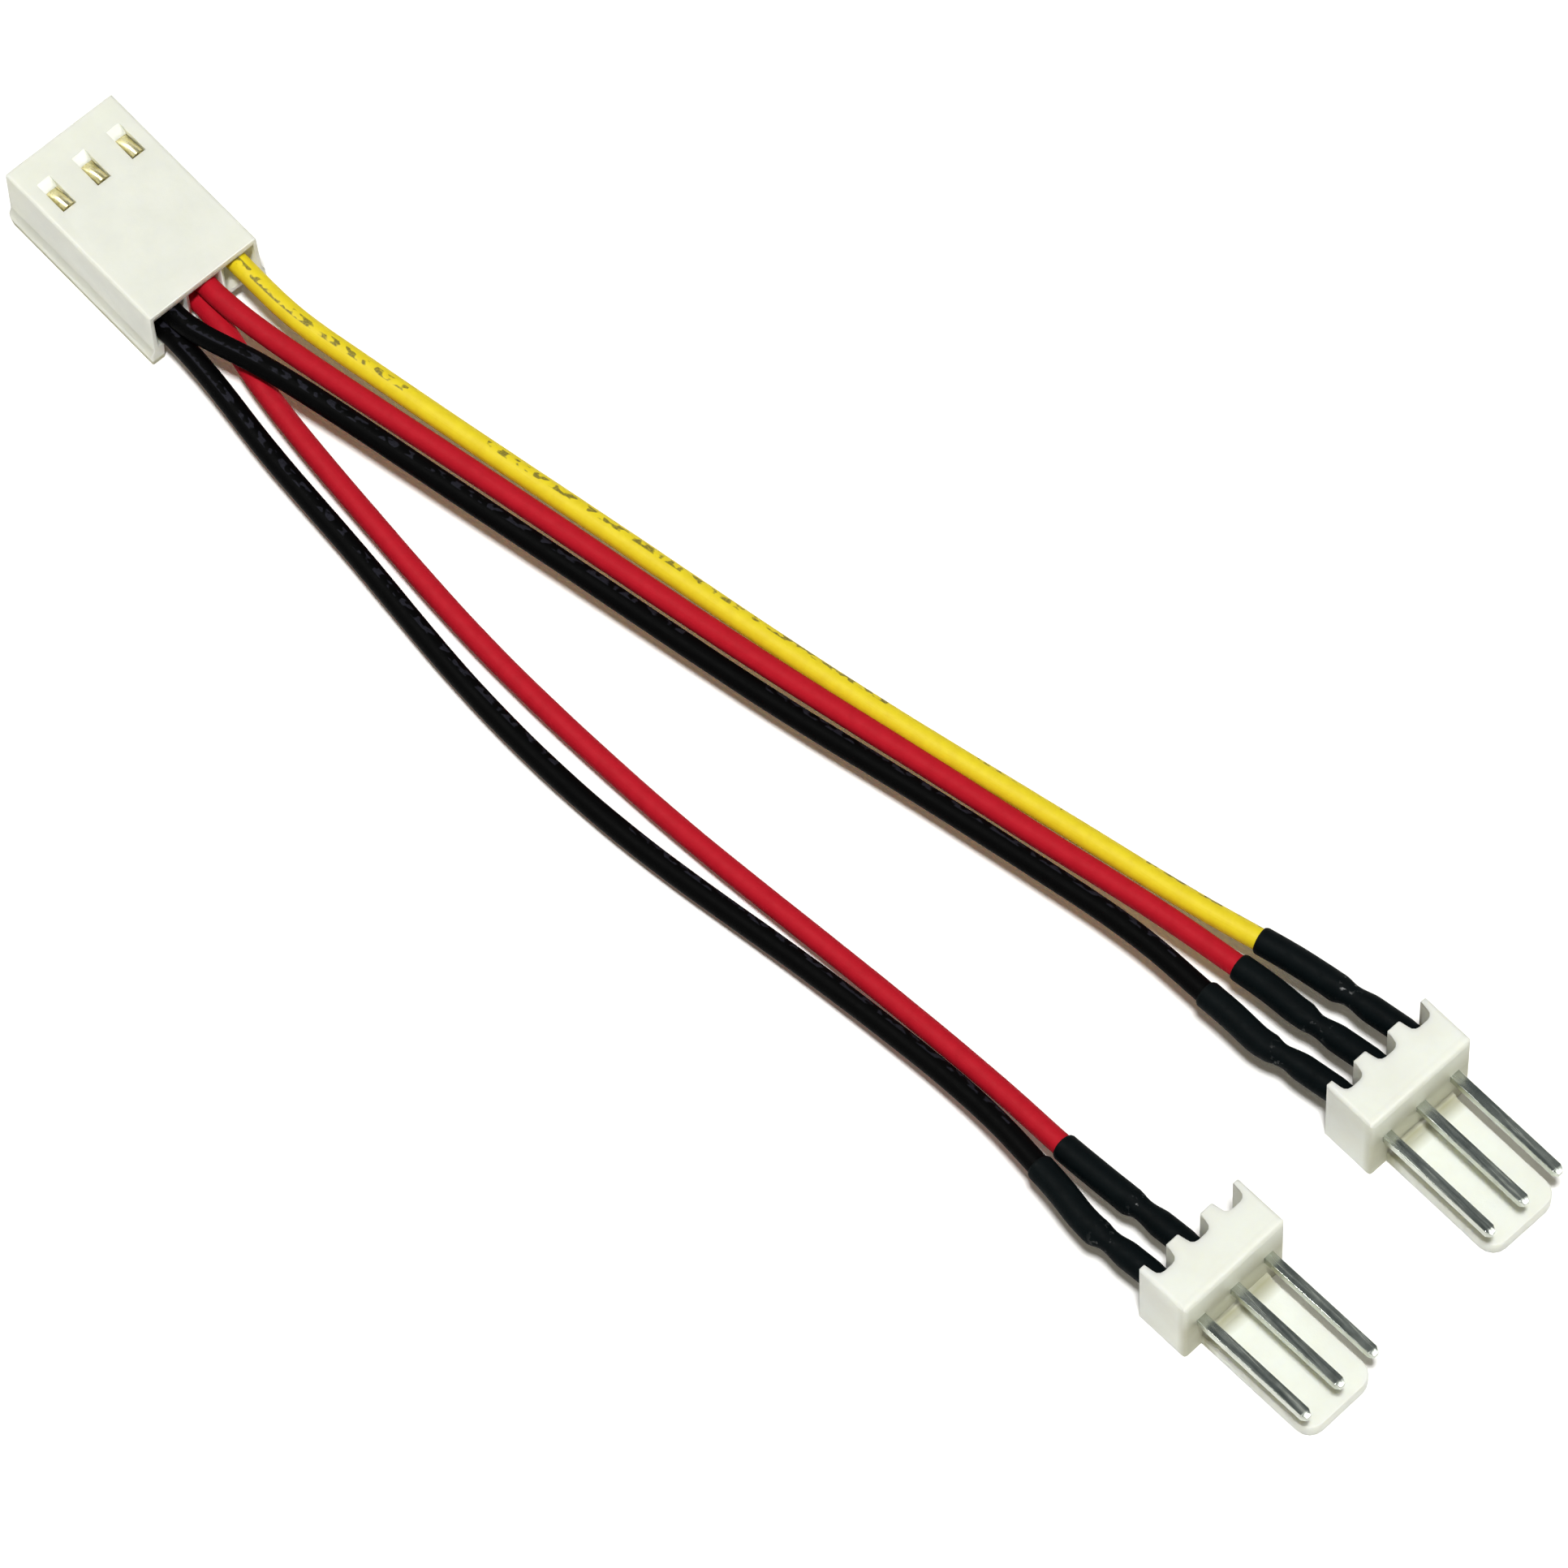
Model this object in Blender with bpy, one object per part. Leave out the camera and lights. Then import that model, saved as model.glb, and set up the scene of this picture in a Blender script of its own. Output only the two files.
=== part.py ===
# Fan splitter cable: one three-way female crimp connector feeds two three-pin
# friction-lock headers through five soldered, heat-shrunk wires.
# Lengths are in metres. The cable lies along X on the plane z = 0.

from math import cos, pi, radians, sin, sqrt

import bmesh
import bpy
import numpy as np
from mathutils import Vector

# Pattern and fits shared by every piece
pitch = 0.00254
slip = 0.00002
overcut = 0.001

# Female housing, measured back from the face that the wires leave
housingLength = 0.01275
housingWidth = 0.0084
housingHeight = 0.00485
housingEdge = 0.00006
sideStepDepth = 0.00028
sideStepHeight = 0.00095
railWidth = 0.0009
floorThickness = 0.00033
noseLength = 0.0004
noseHeight = 0.0007
frontWall = 0.0016
roofThickness = 0.0005
pinHoleSize = 0.0011
funnelSize = 0.0017
funnelDepth = 0.0006
windowWidth = 0.00095
windowStart = 0.0017
windowEnd = 0.0041
windowRamp = 0.0006

# Crimp terminal, folded from sheet, with its base strip under the roof
terminalSheet = 0.00012
terminalGap = 0.00005
boxWidth = 0.0015
boxDepth = 0.0015
boxLength = 0.0035
boxWaist = 0.00092
waistStart = 0.35
waistEnd = 0.65
neckWidth = 0.0009
wingStub = 0.00012
barrelStart = 0.0059
barrelLength = 0.0013
insulationCrimpStart = 0.002
insulationCrimpLength = 0.0015
tangWidth = 0.00075
tangCrown = 0.00009
tangRise = 0.00048
tangRoot = 0.0022
tangTip = 0.004
tangSink = 0.000012
tangThinning = 0.8
tangStations = (0.0, 0.12, 0.55, 0.9, 1.0)
tangCrownAt = 0.25

# Wires
wireDiameter = 0.0013
strandDiameter = 0.00048
strandStraight = 0.15
wireInset = 0.0039
pairSpread = 0.0006
wireStep = 0.0028
rightStripLength = 0.0018
leftStripLength = 0.0012

# Friction-lock header, measured from the bottom of its wire grooves
headerWidth = 0.0075
headerHeight = 0.0062
headerEdge = 0.00007
blockDepth = 0.0024
ridgeDepth = 0.0011
grooveWidth = 0.0016
grooveRadius = 0.0005
tongueWidth = 0.005
tongueReach = 0.0081
tongueThickness = 0.0011
tongueRadius = 0.001
tongueLift = 0.00003
rootLength = 0.0006
rootThickness = 0.0015
pinSize = 0.00064
pinHeight = 0.00337
pinReach = 0.008
pinTaper = 0.0003
tailReach = 0.0033
tailStraight = 0.0008

# Solder joints and heat-shrink sleeves
solderDiameter = 0.00108
solderOverTail = 0.0009
solderOverStrand = 0.0008
sleeveWall = 0.00015
sleeveGap = 0.00004
sleeveNeckLength = 0.0007
sleeveEndGap = 0.00025
sleeveOverWire = {
    "yellow": 0.0049,
    "red_upper": 0.0045,
    "black_upper": 0.0046,
    "red_lower": 0.0047,
    "black_lower": 0.0048,
}

# Where the two headers lie, seen from the middle of the female's wire face,
# and how far the tails of their pins are bent sideways, in degrees
rightHeaderAt = (0.08015, 0.0159)
rightHeaderTurn = 1.6
rightTailLean = 9.0
leftHeaderAt = (0.08125, 0.00131)
leftHeaderTurn = 2.5
leftTailLean = 4.5

# Route points of each wire between its two straight ends, from the same face
yellowRoute = [
    (0.0043, 0.0026, 0.0035),
    (0.0087, 0.00325, 0.0035),
    (0.0172, 0.0049, 0.0033),
    (0.0255, 0.0066, 0.0031),
    (0.0338, 0.00825, 0.0029),
    (0.042, 0.0099, 0.0028),
    (0.0502, 0.01175, 0.0028),
    (0.0583, 0.01365, 0.0029),
    (0.0663, 0.0155, 0.0031),
    (0.0695, 0.01636, 0.0032),
    (0.0721, 0.017, 0.0033),
    (0.0744, 0.01748, 0.0033),
]
redUpperRoute = [
    (0.0043, 0.0007, 0.0035),
    (0.0087, 0.0015, 0.0035),
    (0.0171, 0.0033, 0.0033),
    (0.0254, 0.005, 0.0032),
    (0.0337, 0.0067, 0.003),
    (0.0417, 0.0084, 0.003),
    (0.0499, 0.0103, 0.0029),
    (0.058, 0.01205, 0.003),
    (0.0661, 0.0138, 0.0031),
    (0.0701, 0.01446, 0.0032),
    (0.0722, 0.01476, 0.0033),
    (0.0743, 0.01498, 0.0033),
]
blackUpperRoute = [
    (0.0046, -0.00114, 0.00355),
    (0.0089, 0.0, 0.0035),
    (0.0172, 0.0018, 0.0032),
    (0.0255, 0.00353, 0.003),
    (0.0338, 0.00525, 0.0027),
    (0.0419, 0.00695, 0.0026),
    (0.0501, 0.00885, 0.0027),
    (0.0582, 0.01055, 0.0029),
    (0.0662, 0.01185, 0.0031),
    (0.07, 0.01205, 0.0032),
    (0.0722, 0.01216, 0.0033),
    (0.0743, 0.01227, 0.0033),
]
redLowerRoute = [
    (0.0045, -0.0009, 0.00208),
    (0.0085, -0.00145, 0.00195),
    (0.0173, -0.0021, 0.0017),
    (0.026, -0.0025, 0.0015),
    (0.0347, -0.00235, 0.0014),
    (0.0433, -0.0018, 0.0014),
    (0.0517, -0.00095, 0.0016),
    (0.0601, -0.0002, 0.0021),
    (0.0685, 0.00025, 0.0028),
    (0.0715, 0.00032, 0.0031),
    (0.0738, 0.00047, 0.0033),
    (0.0759, 0.00071, 0.0033),
]
blackLowerRoute = [
    (0.0042, -0.003, 0.00215),
    (0.0086, -0.00345, 0.00195),
    (0.0174, -0.004, 0.0017),
    (0.0261, -0.00465, 0.0015),
    (0.0348, -0.00475, 0.0014),
    (0.0433, -0.004, 0.0014),
    (0.0516, -0.0027, 0.0016),
    (0.06, -0.00165, 0.0021),
    (0.0684, -0.00125, 0.0028),
    (0.0713, -0.00144, 0.0031),
    (0.0736, -0.00164, 0.0033),
    (0.0757, -0.00182, 0.0033),
]

# Heights and widths that follow from the sizes above
cavityCeiling = housingHeight - roofThickness
stripTop = cavityCeiling - terminalGap
stripBottom = stripTop - terminalSheet
firstWireHeight = stripBottom - slip - wireDiameter / 2
pairDrop = sqrt((wireDiameter + slip) ** 2 - pairSpread**2)
secondWireHeight = firstWireHeight - pairDrop
cavityFloor = secondWireHeight - wireDiameter / 2 - terminalGap
channelDepth = cavityFloor - floorThickness
crimpWidth = pairSpread + wireDiameter + 2 * slip + 2 * terminalSheet
cavityWidth = crimpWidth + 2 * slip
contactHeight = stripBottom - boxDepth / 2
firstStrandHeight = stripBottom - slip - strandDiameter / 2
secondStrandHeight = firstStrandHeight - strandDiameter - slip
rows = {"black": -pitch, "red": 0.0, "yellow": pitch}


def removeStartupObjects():
    for old in list(bpy.data.objects):
        bpy.data.objects.remove(old, do_unlink=True)


def makeMaterial(name, colour, roughness, metallic=0.0):
    material = bpy.data.materials.new(name)
    material.use_nodes = True
    shader = material.node_tree.nodes["Principled BSDF"]
    shader.inputs["Base Color"].default_value = (*colour, 1.0)
    shader.inputs["Roughness"].default_value = roughness
    shader.inputs["Metallic"].default_value = metallic
    return material


def makeFrame(name, place, turn=0.0, parent=None):
    frame = bpy.data.objects.new(name, None)
    frame.location = (place[0], place[1], 0.0)
    frame.rotation_euler = (0.0, 0.0, radians(turn))
    frame.parent = parent
    bpy.context.scene.collection.objects.link(frame)
    return frame


def makeObject(name, shape, parent, material=None, smooth=False):
    bmesh.ops.recalc_face_normals(shape, faces=shape.faces)
    mesh = bpy.data.meshes.new(name)
    shape.to_mesh(mesh)
    shape.free()
    piece = bpy.data.objects.new(name, mesh)
    piece.parent = parent
    bpy.context.scene.collection.objects.link(piece)
    if material:
        mesh.materials.append(material)
    if smooth:
        mesh.shade_smooth()
        mesh.set_sharp_from_angle(angle=radians(40))
    return piece


# A loft joins rings of equally many points and closes both ends.
def loft(rings):
    shape = bmesh.new()
    rows_ = [[shape.verts.new(Vector(point)) for point in ring] for ring in rings]
    count = len(rows_[0])
    for near, far in zip(rows_, rows_[1:]):
        for i in range(count):
            j = (i + 1) % count
            shape.faces.new((near[i], near[j], far[j], far[i]))
    shape.faces.new(rows_[0][::-1])
    shape.faces.new(rows_[-1])
    return shape


# Prisms of a flat outline, run along X, Y or Z.
def prismAlongX(outline, start, end):
    return loft([[(x, y, z) for y, z in outline] for x in (start, end)])


def prismAlongY(outline, start, end):
    return loft([[(x, y, z) for x, z in outline] for y in (start, end)])


def prismAlongZ(outline, start, end):
    return loft([[(x, y, z) for x, y in outline] for z in (start, end)])


def box(low, high):
    outline = [(low[1], low[2]), (high[1], low[2]), (high[1], high[2]), (low[1], high[2])]
    return prismAlongX(outline, low[0], high[0])


def square(middle, size):
    half = size / 2
    y, z = middle
    return [(y - half, z - half), (y + half, z - half), (y + half, z + half), (y - half, z + half)]


def bevelEnds(shape, axis, width):
    ends = [min(v.co[axis] for v in shape.verts), max(v.co[axis] for v in shape.verts)]
    edges = [
        edge
        for edge in shape.edges
        if any(all(abs(v.co[axis] - end) < 1e-7 for v in edge.verts) for end in ends)
    ]
    bmesh.ops.bevel(shape, geom=edges, offset=width, segments=1, affect="EDGES")
    return shape


def cut(target, name, shape):
    cutter = makeObject(name, shape, target.parent)
    cutter.hide_render = True
    cutter.display_type = "WIRE"
    addBoolean(target, cutter, "DIFFERENCE")


def fuse(target, name, shape):
    extra = makeObject(name, shape, target.parent)
    extra.hide_render = True
    extra.display_type = "WIRE"
    addBoolean(target, extra, "UNION")


def addBoolean(target, other, operation):
    modifier = target.modifiers.new(other.name, "BOOLEAN")
    modifier.operation = operation
    modifier.solver = "EXACT"
    modifier.object = other


# The housing's outline across the row: rails below, a step in each side.
def housingOutline():
    low = housingWidth / 2
    top = low - sideStepDepth
    inner = low - railWidth
    right = [
        (inner, 0.0),
        (low - housingEdge, 0.0),
        (low, housingEdge),
        (low, sideStepHeight),
        (top, sideStepHeight + sideStepDepth),
        (top, housingHeight - housingEdge),
        (top - housingEdge, housingHeight),
    ]
    left = [(-y, z) for y, z in reversed(right)]
    channel = [(-inner, channelDepth), (inner, channelDepth)]
    return right + left + channel


def makeHousing(frame, material):
    front = -housingLength
    shape = bevelEnds(prismAlongX(housingOutline(), front, 0.0), 0, housingEdge)
    housing = makeObject("female_housing", shape, frame, material)
    slant = noseLength / noseHeight
    nose = [
        (front - overcut, -overcut),
        (front + noseLength + slant * overcut, -overcut),
        (front - overcut, noseHeight + overcut / slant),
    ]
    cut(housing, "noseCutter", prismAlongY(nose, -housingWidth, housingWidth))
    for colour, y in rows.items():
        low = (front + frontWall, y - cavityWidth / 2, cavityFloor)
        high = (overcut, y + cavityWidth / 2, cavityCeiling)
        cut(housing, colour + "CavityCutter", box(low, high))
        flare = (funnelSize - pinHoleSize) / funnelDepth * overcut
        mouth = square((y, contactHeight), funnelSize + flare)
        hole = square((y, contactHeight), pinHoleSize)
        places = (front - overcut, front + funnelDepth, front + frontWall + overcut)
        rings = [[(x, *p) for p in ring] for x, ring in zip(places, (mouth, hole, hole))]
        cut(housing, colour + "PinHoleCutter", loft(rings))
        lean = windowRamp / roofThickness
        start = front + windowStart
        deeper = overcut / 5
        window = [
            (start - lean * overcut, housingHeight + overcut),
            (start + windowRamp + lean * deeper, cavityCeiling - deeper),
            (front + windowEnd, cavityCeiling - deeper),
            (front + windowEnd, housingHeight + overcut),
        ]
        half = windowWidth / 2
        cut(housing, colour + "WindowCutter", prismAlongY(window, y - half, y + half))
    return housing


# A U of folded sheet, open below: its half width and how far its wings hang.
def sheetSection(x, y, width, drop):
    half = width / 2
    inner = half - terminalSheet
    bottom = stripBottom - drop
    return [
        (x, y - half, stripTop),
        (x, y + half, stripTop),
        (x, y + half, bottom),
        (x, y + inner, bottom),
        (x, y + inner, stripBottom),
        (x, y - inner, stripBottom),
        (x, y - inner, bottom),
        (x, y - half, bottom),
    ]


def makeTerminal(name, frame, y, paired, material):
    boxFront = -housingLength + frontWall + 2 * terminalGap
    boxRear = boxFront + boxLength
    strands = 2 if paired else 1
    barrelWidth = strandDiameter + 2 * slip + 2 * terminalSheet
    barrelDrop = strands * (strandDiameter + slip) + slip
    gripWidth = crimpWidth if paired else wireDiameter + 2 * slip + 2 * terminalSheet
    gripDrop = wireDiameter if paired else wireDiameter / 2
    ramp = terminalSheet
    barrelFront = -barrelStart - barrelLength
    gripFront = -insulationCrimpStart - insulationCrimpLength
    stations = [
        (boxFront, boxWidth, boxDepth),
        (boxFront + waistStart * boxLength, boxWaist, boxDepth),
        (boxFront + waistEnd * boxLength, boxWaist, boxDepth),
        (boxRear, boxWidth, boxDepth),
        (boxRear + ramp, neckWidth, wingStub),
        (barrelFront - ramp, barrelWidth, wingStub),
        (barrelFront, barrelWidth, barrelDrop),
        (-barrelStart, barrelWidth, barrelDrop),
        (-barrelStart + ramp, barrelWidth, wingStub),
        (-wireInset - 3 * ramp, neckWidth, wingStub),
        (-wireInset - ramp, gripWidth, wingStub),
        (gripFront, gripWidth, wingStub),
        (gripFront + ramp, gripWidth, gripDrop),
        (-insulationCrimpStart, gripWidth, gripDrop),
    ]
    shape = loft([sheetSection(x, y, width, drop) for x, width, drop in stations])
    terminal = makeObject(name, shape, frame, material)
    rings = []
    for share in tangStations:
        x = -housingLength + tangRoot + share * (tangTip - tangRoot)
        lift = tangRise * sin(share * pi / 2) - tangSink
        half = tangWidth / 2
        top = stripTop + lift
        crown = tangCrown * min(1.0, share / tangCrownAt)
        rings.append(
            [
                (x, y - half, top),
                (x, y - half / 2, top + crown),
                (x, y + half / 2, top + crown),
                (x, y + half, top),
                (x, y + half, top - tangThinning * terminalSheet),
                (x, y - half, top - tangThinning * terminalSheet),
            ]
        )
    fuse(terminal, name + "Tang", loft(rings))
    return terminal


# The header's outline from above: ridges and U-shaped grooves face the wires.
def headerOutline():
    half = headerWidth / 2
    outline = [(blockDepth, -half), (blockDepth, half)]
    outline += [(-ridgeDepth + headerEdge, half), (-ridgeDepth, half - headerEdge)]
    for y in sorted(rows.values(), reverse=True):
        outline.append((-ridgeDepth, y + grooveWidth / 2 + headerEdge * (y < pitch / 2)))
        outline.append((-ridgeDepth + headerEdge, y + grooveWidth / 2))
        for side, angles in ((1, (0, 30, 60, 90)), (-1, (90, 60, 30, 0))):
            middle = y + side * (grooveWidth / 2 - grooveRadius)
            for angle in angles:
                turn = radians(angle)
                x = -grooveRadius + grooveRadius * sin(turn)
                outline.append((x, middle + side * grooveRadius * cos(turn)))
        outline.append((-ridgeDepth + headerEdge, y - grooveWidth / 2))
        outline.append((-ridgeDepth, y - grooveWidth / 2 - headerEdge * (y > -pitch / 2)))
    outline += [(-ridgeDepth, -half + headerEdge), (-ridgeDepth + headerEdge, -half)]
    return outline


def tongueOutline():
    half = tongueWidth / 2
    end = blockDepth + tongueReach
    outline = [(blockDepth / 2, -half)]
    for side, angles in ((-1, (0, 22.5, 45, 67.5, 90)), (1, (90, 67.5, 45, 22.5, 0))):
        for angle in angles:
            turn = radians(angle)
            x = end - tongueRadius + tongueRadius * sin(turn)
            y = side * (half - tongueRadius + tongueRadius * cos(turn))
            outline.append((x, y))
    outline.append((blockDepth / 2, half))
    return outline


def makeHeader(side, frame, material):
    shape = bevelEnds(prismAlongZ(headerOutline(), 0.0, headerHeight), 2, headerEdge)
    header = makeObject(side + "_header", shape, frame, material)
    top = tongueLift + tongueThickness
    tongue = bevelEnds(prismAlongZ(tongueOutline(), tongueLift, top), 2, headerEdge)
    fuse(header, side + "Tongue", tongue)
    root = [
        (blockDepth / 2, tongueThickness / 2),
        (blockDepth + rootLength, tongueThickness / 2),
        (blockDepth + rootLength, top - slip),
        (blockDepth + rootLength - (rootThickness - top), rootThickness),
        (blockDepth / 2, rootThickness),
    ]
    half = tongueWidth / 2 - headerEdge
    fuse(header, side + "Root", prismAlongY(root, -half, half))
    for colour, y in rows.items():
        hole = prismAlongX(square((y, pinHeight), pinSize + slip), -overcut, blockDepth + overcut)
        cut(header, side + colour + "PinCutter", hole)
    return header


# Behind its straight root a pin's tail is bent sideways, with all that is on it.
def leaned(point, y, lean):
    x, side, z = point
    if x >= -tailStraight:
        return point
    angle = radians(lean)
    back = x + tailStraight
    across = side - y
    along = back * cos(angle) - across * sin(angle)
    return (along - tailStraight, y + back * sin(angle) + across * cos(angle), z)


def makePin(name, frame, y, tail, lean, material):
    front = blockDepth + pinReach
    stations = [
        (-tail, pinSize - pinTaper),
        (-tail + pinTaper / 2, pinSize),
        (front - pinTaper, pinSize),
        (front, pinSize - pinTaper),
    ]
    if tail > tailStraight:
        stations.insert(2, (-tailStraight, pinSize))
    rings = [
        [leaned((x, *point), y, lean) for point in square((y, pinHeight), size)]
        for x, size in stations
    ]
    return makeObject(name, loft(rings), frame, material)


# A cubic spline through the points, with given directions at both ends,
# whose slopes solve one tridiagonal system.
def clampedSpline(points, startDirection, endDirection):
    points = np.array(points)
    steps = np.linalg.norm(np.diff(points, axis=0), axis=1)
    knots = np.concatenate([[0.0], np.cumsum(steps)])
    count = len(points)
    matrix = np.eye(count)
    right = np.zeros_like(points)
    right[0] = startDirection
    right[-1] = endDirection
    for i in range(1, count - 1):
        before, after = steps[i - 1], steps[i]
        matrix[i, i - 1] = after
        matrix[i, i] = 2 * (before + after)
        matrix[i, i + 1] = before
        chords = (points[i] - points[i - 1]) * after / before
        chords += (points[i + 1] - points[i]) * before / after
        right[i] = 3 * chords
    slopes = np.linalg.solve(matrix, right)

    def at(place):
        i = min(int(np.searchsorted(knots, place, side="right")) - 1, count - 2)
        t = (place - knots[i]) / steps[i]
        bend = (1 + 2 * t) * (1 - t) ** 2 * points[i] + t * t * (3 - 2 * t) * points[i + 1]
        lean = t * (1 - t) ** 2 * slopes[i] - t * t * (1 - t) * slopes[i + 1]
        return bend + steps[i] * lean

    return at, knots[-1]


# Points along the spline at equal spacing, found on a fine copy of it.
def samples(at, end, first, last, step):
    fine = np.array([at(place) for place in np.linspace(0.0, end, 1500)])
    run = np.concatenate([[0.0], np.cumsum(np.linalg.norm(np.diff(fine, axis=0), axis=1))])
    last = run[-1] + last if last <= 0 else last
    count = max(1, round((last - first) / step))
    places = np.linspace(first, last, count + 1)
    return [np.array([np.interp(place, run, fine[:, k]) for k in range(3)]) for place in places]


def makeCord(name, points, diameter, frame, material):
    curve = bpy.data.curves.new(name, "CURVE")
    curve.dimensions = "3D"
    curve.bevel_depth = diameter / 2
    curve.bevel_resolution = 2
    curve.use_fill_caps = True
    spline = curve.splines.new("POLY")
    spline.points.add(len(points) - 1)
    for place, point in zip(spline.points, points):
        place.co = (*point, 1.0)
    curve.materials.append(material)
    cord = bpy.data.objects.new(name, curve)
    cord.parent = frame
    bpy.context.scene.collection.objects.link(cord)
    return cord


# A ring of points round a path at one place, square to the path there.
def ringAt(point, direction, radius, count=10):
    side = np.cross(direction, (0.0, 0.0, 1.0))
    side /= np.linalg.norm(side)
    up = np.cross(side, direction)
    turns = [2 * pi * i / count for i in range(count)]
    return [point + radius * (cos(turn) * side + sin(turn) * up) for turn in turns]


# A sleeve follows the wire's own points: wide over the insulation, then a neck.
def makeSleeve(name, path, wireEnd, overWire, frame, material):
    wide = wireDiameter / 2 + sleeveGap
    narrow = solderDiameter / 2 + sleeveGap
    path = np.array(path)
    run = np.concatenate([[0.0], np.cumsum(np.linalg.norm(np.diff(path, axis=0), axis=1))])
    start = wireEnd - overWire
    marks = [start, wireEnd, wireEnd + sleeveNeckLength, run[-1]]
    places = marks + [place for place in run if start + slip < place < run[-1] - slip]
    places = np.unique(np.round(places, 6))
    bores = []
    skins = []
    for place in places:
        point = np.array([np.interp(place, run, path[:, k]) for k in range(3)])
        ahead = np.array([np.interp(place + 1e-4, run, path[:, k]) for k in range(3)])
        behind = np.array([np.interp(place - 1e-4, run, path[:, k]) for k in range(3)])
        direction = (ahead - behind) / np.linalg.norm(ahead - behind)
        inner = float(np.interp(place, marks[1:3], (wide, narrow)))
        bores.append(ringAt(point, direction, inner))
        skins.append(ringAt(point, direction, inner + sleeveWall))
    shape = bmesh.new()
    outer = [[shape.verts.new(Vector(point)) for point in ring] for ring in skins]
    inner = [[shape.verts.new(Vector(point)) for point in ring] for ring in bores]
    loop = outer + inner[::-1]
    count = len(loop[0])
    for near, far in zip(loop, loop[1:] + loop[:1]):
        for i in range(count):
            j = (i + 1) % count
            shape.faces.new((near[i], near[j], far[j], far[i]))
    return makeObject(name, shape, frame, material, smooth=True)


def makeSolder(name, frame, y, lean, material):
    count = 12
    turns = [2 * pi * i / count for i in range(count)]
    start = -tailReach - solderOverStrand
    end = -tailReach + solderOverTail

    def disc(x, radius):
        ring = [(x, y + radius * cos(turn), pinHeight + radius * sin(turn)) for turn in turns]
        return [leaned(point, y, lean) for point in ring]

    outer = solderDiameter / 2
    shape = loft([disc(start, 0.8 * outer), disc(start + outer / 2, outer), disc(end, outer)])
    solder = makeObject(name, shape, frame, material, smooth=True)
    tailHole = [
        [leaned((x, *point), y, lean) for point in square((y, pinHeight), pinSize + 2 * slip)]
        for x in (-tailReach - slip, end + overcut)
    ]
    cut(solder, name + "TailCutter", loft(tailHole))
    strandHole = strandDiameter / 2 + slip
    bore = loft([disc(start - overcut, strandHole), disc(-tailReach + slip, strandHole)])
    cut(solder, name + "StrandCutter", bore)
    return solder


# One branch: strands in the crimp, the wire, its stripped end, solder and sleeve.
def makeBranch(name, side, row, header, spread, heights, route, frame, materials):
    place, turn, lean, stripLength = header
    y = rows[row]
    wireHeight, strandHeight = heights
    inward = np.array([cos(radians(turn)), sin(radians(turn)), 0.0])
    across = np.array([-inward[1], inward[0], 0.0])
    groove = np.array([*place, 0.0]) + across * y + np.array([0.0, 0.0, pinHeight])
    forward = np.array([cos(radians(turn + lean)), sin(radians(turn + lean)), 0.0])
    bend = groove - inward * tailStraight
    tailPoint = bend - forward * (tailReach - tailStraight + slip)
    crimpEnd = np.array([-wireInset, y + spread, wireHeight])
    exitPoint = np.array([0.0, y + spread, wireHeight])
    straightStart = tailPoint - forward * solderOverStrand
    points = [exitPoint, *[np.array(point) for point in route], straightStart]
    at, end = clampedSpline(points, np.array([1.0, 0.0, 0.0]), forward)
    along = samples(at, end, 0.0, -stripLength, wireStep)
    bare = samples(at, end, 0.0, 0.0, wireStep)[-1:]
    stripped = samplesNearEnd(at, end, stripLength)
    wirePoints = [crimpEnd, (crimpEnd + exitPoint) / 2, *along]
    makeCord(name + "_wire", wirePoints, wireDiameter, frame, materials[row])
    soldered = [*stripped, *bare, tailPoint]
    start = stripped[0]
    lead = (stripped[1] - start) / np.linalg.norm(stripped[1] - start)
    bareEnd = [start + lead * slip, *soldered[1:]]
    makeCord(name + "_soldered_strands", bareEnd, strandDiameter, frame, materials["strand"])
    run = strandStraight * (barrelStart - wireInset)
    crimped = [
        np.array([-wireInset - slip, y + spread, wireHeight]),
        np.array([-wireInset - run, y + spread, wireHeight]),
        np.array([-barrelStart + run, y, strandHeight]),
        np.array([-barrelStart, y, strandHeight]),
        np.array([-barrelStart - barrelLength, y, strandHeight]),
    ]
    makeCord(name + "_crimped_strands", crimped, strandDiameter, frame, materials["strand"])
    last = groove - inward * sleeveEndGap
    path = [*wirePoints, *soldered[1:], bend, last]
    steps = np.linalg.norm(np.diff(np.array(wirePoints), axis=0), axis=1)
    wireEnd = float(steps.sum())
    makeSleeve(name + "_sleeve", path, wireEnd, sleeveOverWire[name], frame, materials["sleeve"])
    makeSolder(name + "_solder", side, y, lean, materials["solder"])


# The stripped stretch before the solder, at a third of its length each.
def samplesNearEnd(at, end, stripLength):
    fine = np.array([at(place) for place in np.linspace(0.0, end, 1500)])
    run = np.concatenate([[0.0], np.cumsum(np.linalg.norm(np.diff(fine, axis=0), axis=1))])
    places = run[-1] - stripLength * np.array([1.0, 2 / 3, 1 / 3])
    return [np.array([np.interp(place, run, fine[:, k]) for k in range(3)]) for place in places]


# The origin goes to the middle of the connectors' footprint.
def centreOn(root, pieces):
    bpy.context.view_layer.update()
    graph = bpy.context.evaluated_depsgraph_get()
    corners = []
    for piece in pieces:
        evaluated = piece.evaluated_get(graph)
        for vertex in evaluated.data.vertices:
            corners.append(piece.matrix_world @ vertex.co)
    for axis in (0, 1):
        values = [corner[axis] for corner in corners]
        root.location[axis] -= (min(values) + max(values)) / 2


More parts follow.
